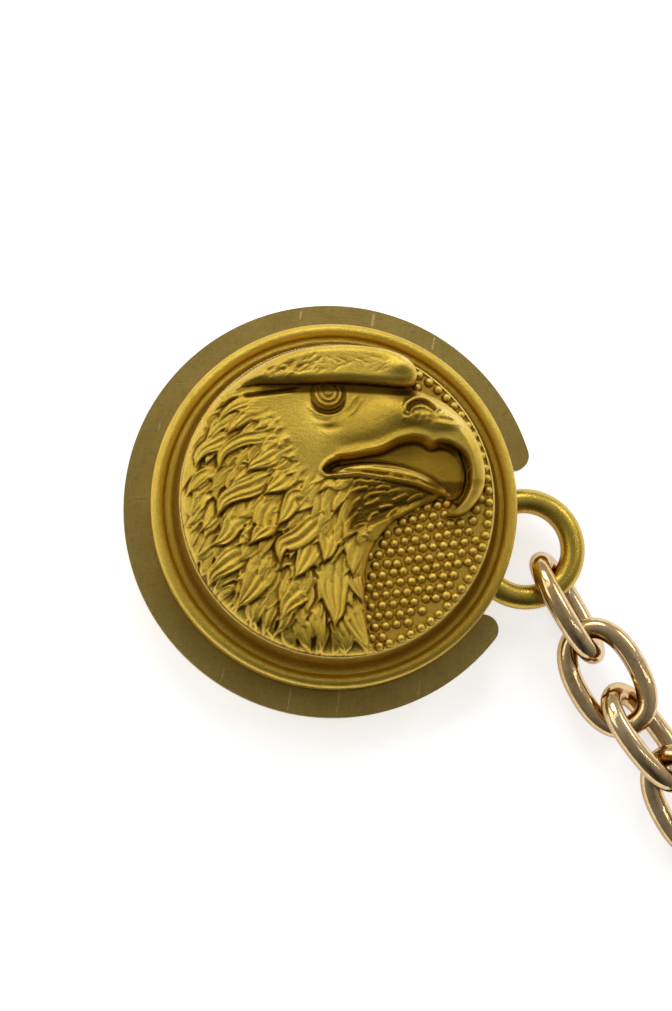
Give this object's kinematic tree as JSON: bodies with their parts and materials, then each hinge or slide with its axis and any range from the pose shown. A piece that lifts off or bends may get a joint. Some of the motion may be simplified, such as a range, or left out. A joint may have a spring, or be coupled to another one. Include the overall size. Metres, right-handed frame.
{
  "type": "cap badge",
  "caption": "Round eagle-head boss badge on a notched backing plate, with screw post and thumb nut, swinging ring, cable chain and end hook.",
  "frame": {"origin": "on the badge's axis, at the outer face of the thumb nut, which is the surface that the badge rests on", "axes": "+Z out of the badge's face along the screw post, +Y to the top of the eagle's head, +X the way the eagle looks"},
  "size_m": [0.0895, 0.0616, 0.0148],
  "materials": {
    "satin_gilt_brass": "satin gilt over struck brass, fine bead-blast grain, darker in the recesses",
    "brushed_plate_brass": "dull olive rolled brass sheet with fine brushing and a few straight score lines",
    "polished_pale_gold": "bright polished pale gold plating with fine wear",
    "turned_brass": "plain turned brass",
    "plated_steel": "dull nickel-plated steel"
  },
  "bodies": {
    "badge": {"backing_plate": "brushed_plate_brass", "face_shell": "satin_gilt_brass", "closing_disc": "turned_brass", "threaded_post": "turned_brass", "locating_pin_1": "turned_brass", "locating_pin_2": "turned_brass", "ring_eye": "satin_gilt_brass"},
    "nut": {"thumb_nut": "turned_brass"},
    "washer": {"washer": "plated_steel"},
    "ring": {"chain_ring": "satin_gilt_brass"},
    "link_1": {"chain_link_1": "polished_pale_gold"},
    "link_2": {"chain_link_2": "polished_pale_gold"},
    "link_3": {"chain_link_3": "polished_pale_gold"},
    "link_4": {"chain_link_4": "polished_pale_gold"},
    "link_5": {"chain_link_5": "polished_pale_gold"},
    "link_6": {"chain_link_6": "polished_pale_gold"},
    "link_7": {"chain_link_7": "polished_pale_gold"},
    "link_8": {"chain_link_8": "polished_pale_gold"},
    "link_9": {"chain_link_9": "polished_pale_gold"},
    "hook": {"end_hook": "polished_pale_gold"}
  },
  "joints": [
    {"name": "nut_travel", "type": "slide", "parent": "badge", "child": "nut", "axis": [0, 0, -1], "range_m": [0, 0.0025]},
    {"name": "washer_travel", "type": "slide", "parent": "badge", "child": "washer", "axis": [0, 0, -1], "range_m": [0, 0.0025]},
    {"name": "ring_swing", "type": "hinge", "parent": "badge", "child": "ring", "pos_m": [0.01469, -0.00272, 0.0036], "axis": [0.1822, 0.9833, 0], "range_deg": [0, 80]},
    {"name": "link_1_slide_round_ring", "type": "hinge", "parent": "ring", "child": "link_1", "pos_m": [0.01947, -0.00361, 0.0036], "axis": [0, 0, 1], "range_deg": [-20, 60]},
    {"name": "link_2_swing", "type": "hinge", "parent": "link_1", "child": "link_2", "pos_m": [0.02624, -0.01409, 0.00399], "axis": [-0.3784, -0.1563, 0.9123], "range_deg": [-45, 45]},
    {"name": "link_3_swing", "type": "hinge", "parent": "link_2", "child": "link_3", "pos_m": [0.03013, -0.0211, 0.00393], "axis": [-0.8486, -0.4704, -0.2419], "range_deg": [-24, 18]},
    {"name": "link_4_swing", "type": "hinge", "parent": "link_3", "child": "link_4", "pos_m": [0.03456, -0.02656, 0.00393], "axis": [-0.5134, -0.3868, 0.766], "range_deg": [-45, 45]},
    {"name": "link_5_swing", "type": "hinge", "parent": "link_4", "child": "link_5", "pos_m": [0.03821, -0.03354, 0.00393], "axis": [-0.7251, -0.4019, -0.5592], "range_deg": [-45, 45]},
    {"name": "link_6_swing", "type": "hinge", "parent": "link_5", "child": "link_6", "pos_m": [0.04512, -0.03768, 0.00393], "axis": [-0.3207, -0.4581, 0.829], "range_deg": [-45, 45]},
    {"name": "link_7_swing", "type": "hinge", "parent": "link_6", "child": "link_7", "pos_m": [0.05307, -0.03767, 0.00393], "axis": [-0.0755, -0.8627, -0.5], "range_deg": [-45, 45]},
    {"name": "link_8_swing", "type": "hinge", "parent": "link_7", "child": "link_8", "pos_m": [0.06016, -0.03381, 0.00393], "axis": [0.2155, -0.4841, 0.848], "range_deg": [-45, 45]},
    {"name": "link_9_swing", "type": "hinge", "parent": "link_8", "child": "link_9", "pos_m": [0.06449, -0.02699, 0.00393], "axis": [0.6916, -0.5212, -0.5], "range_deg": [-45, 45]},
    {"name": "hook_swing", "type": "hinge", "parent": "link_9", "child": "hook", "pos_m": [0.06562, -0.01902, 0.00393], "axis": [0.4288, -0.0911, 0.8988], "range_deg": [-40, 45]}
  ],
  "couplings": [
    {"joint": "washer_travel", "follows": "nut_travel", "ratio": 1}
  ]
}
